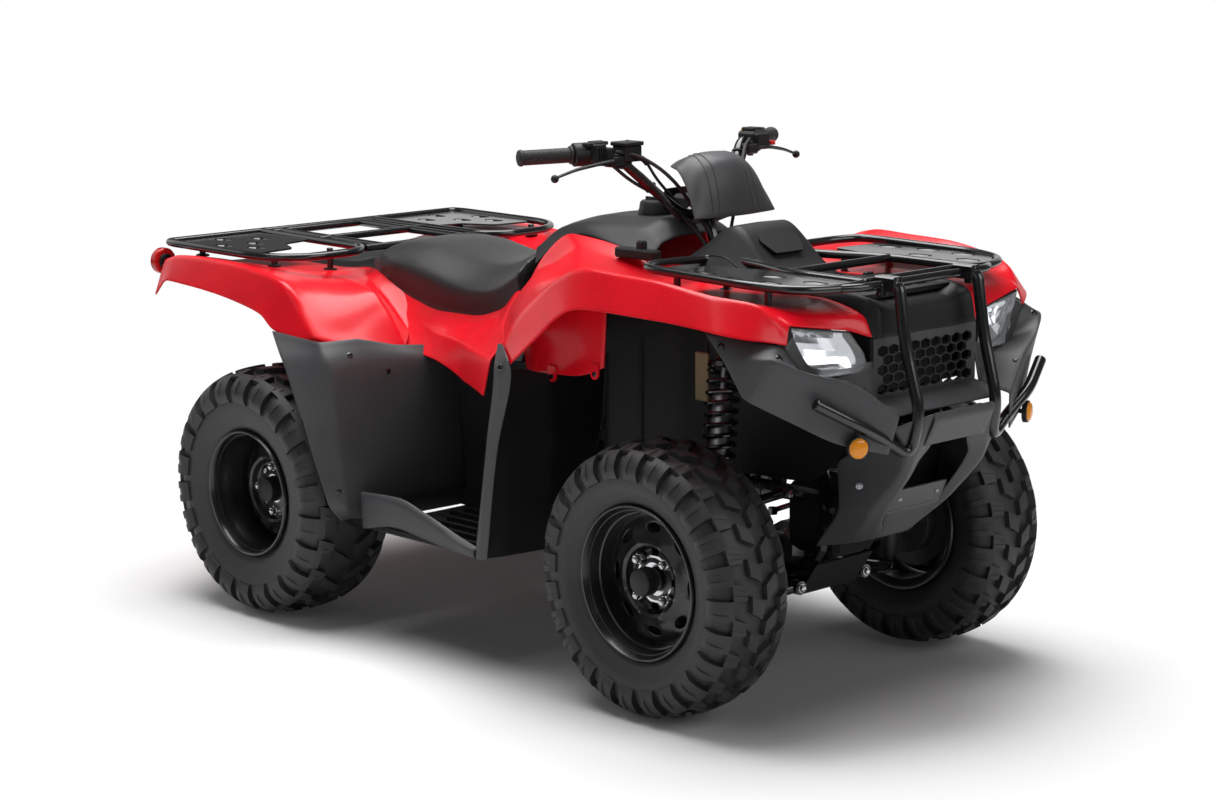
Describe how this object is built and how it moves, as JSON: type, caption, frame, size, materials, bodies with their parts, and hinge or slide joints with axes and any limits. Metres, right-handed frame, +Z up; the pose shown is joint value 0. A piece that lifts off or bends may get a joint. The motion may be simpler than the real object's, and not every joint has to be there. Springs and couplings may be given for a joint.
{
  "type": "quad bike",
  "caption": "Utility quad bike with coupled handlebar steering, steered front wheels, a turning rear axle, tube racks, front bumper, saddle seat and footwells.",
  "frame": {"origin": "on the floor under the middle of the bike, half way between its front and rear ends", "axes": "+X forward towards the headlamps, +Y to the rider's left, +Z up"},
  "size_m": [2.206, 1.168, 1.184],
  "materials": {
    "red_plastic": "gloss",
    "grey_plastic": "matte",
    "black_plastic": "matte",
    "black_steel": "gloss",
    "seat_vinyl": "satin",
    "rubber": "matte",
    "tyre": "matte",
    "rim_black": "satin",
    "bright_steel": "brushed",
    "aluminium": "cast",
    "lens_clear": "gloss",
    "lens_red": "gloss",
    "lens_amber": "gloss"
  },
  "bodies": {
    "chassis": {"arch_walls": "red_plastic", "bumper": "black_steel", "centre_guard": "grey_plastic", "drive_shafts": "bright_steel", "engine": "aluminium", "exhaust": "bright_steel", "footwells": "black_plastic", "frame_front": "black_steel", "frame_lower": "black_steel", "frame_upper": "black_steel", "front_diff": "aluminium", "front_fenders": "red_plastic", "front_rack": "black_steel", "front_shocks": "aluminium", "grille": "black_plastic", "headlamps": "lens_clear", "hitch": "black_steel", "hood": "black_plastic", "liners": "black_plastic", "lower_arms": "black_steel", "mudguards": "grey_plastic", "nose_console": "grey_plastic", "rear_deck": "black_plastic", "rear_fenders": "red_plastic", "rear_rack": "black_steel", "rear_shock": "aluminium", "reflectors": "lens_amber", "seat": "seat_vinyl", "shield_strips": "grey_plastic", "side_covers": "red_plastic", "skid_plate": "black_plastic", "swingarm": "black_steel", "tail_lamps": "lens_red", "tank_cover": "black_plastic", "upper_arms": "black_steel", "wing_guards": "grey_plastic"},
    "steering": {"steering_stem": "black_steel", "handlebar": "black_steel", "grips": "rubber", "controls_right": "black_plastic", "controls_left": "black_plastic", "handlebar_cover": "grey_plastic"},
    "knuckle_right_body": {"knuckle_right": "black_steel"},
    "knuckle_left_body": {"knuckle_left": "black_steel"},
    "tie_rod_right_body": {"tie_rod_right": "black_steel"},
    "tie_rod_left_body": {"tie_rod_left": "black_steel"},
    "wheel_front_right": {"front_hub_right": "bright_steel", "front_rim_right": "rim_black", "front_tyre_right": "tyre"},
    "wheel_front_left": {"front_hub_left": "bright_steel", "front_rim_left": "rim_black", "front_tyre_left": "tyre"},
    "rear_wheels": {"rear_axle": "bright_steel", "rear_rims": "rim_black", "rear_tyre_right": "tyre", "rear_tyre_left": "tyre"}
  },
  "joints": [
    {"name": "steering", "type": "hinge", "parent": "chassis", "child": "steering", "pos_m": [0.47, 0, 0.7], "axis": [-0.342, 0, 0.9397], "range_deg": [-40, 40]},
    {"name": "knuckle_right", "type": "hinge", "parent": "chassis", "child": "knuckle_right_body", "pos_m": [0.6335, -0.318, 0.2975], "axis": [0, 0, 1], "range_deg": [-32.5, 32.5]},
    {"name": "tie_rod_right", "type": "hinge", "parent": "knuckle_right_body", "child": "tie_rod_right_body", "pos_m": [0.5475, -0.278, 0.372], "axis": [0, 0, 1], "range_deg": [-36, 36]},
    {"name": "wheel_front_right", "type": "hinge", "parent": "knuckle_right_body", "child": "wheel_front_right", "pos_m": [0.6335, -0.419, 0.2975], "axis": [0, 1, 0], "continuous": true},
    {"name": "knuckle_left", "type": "hinge", "parent": "chassis", "child": "knuckle_left_body", "pos_m": [0.6335, 0.318, 0.2975], "axis": [0, 0, 1], "range_deg": [-32.5, 32.5]},
    {"name": "tie_rod_left", "type": "hinge", "parent": "knuckle_left_body", "child": "tie_rod_left_body", "pos_m": [0.5475, 0.278, 0.372], "axis": [0, 0, 1], "range_deg": [-36, 36]},
    {"name": "wheel_front_left", "type": "hinge", "parent": "knuckle_left_body", "child": "wheel_front_left", "pos_m": [0.6335, 0.419, 0.2975], "axis": [0, 1, 0], "continuous": true},
    {"name": "rear_axle", "type": "hinge", "parent": "chassis", "child": "rear_wheels", "pos_m": [-0.6335, 0, 0.303], "axis": [0, 1, 0], "continuous": true}
  ],
  "couplings": [
    {"joint": "knuckle_right", "follows": "steering", "ratio": 0.8},
    {"joint": "tie_rod_right", "follows": "steering", "ratio": -0.85},
    {"joint": "knuckle_left", "follows": "steering", "ratio": 0.8},
    {"joint": "tie_rod_left", "follows": "steering", "ratio": -0.85}
  ]
}
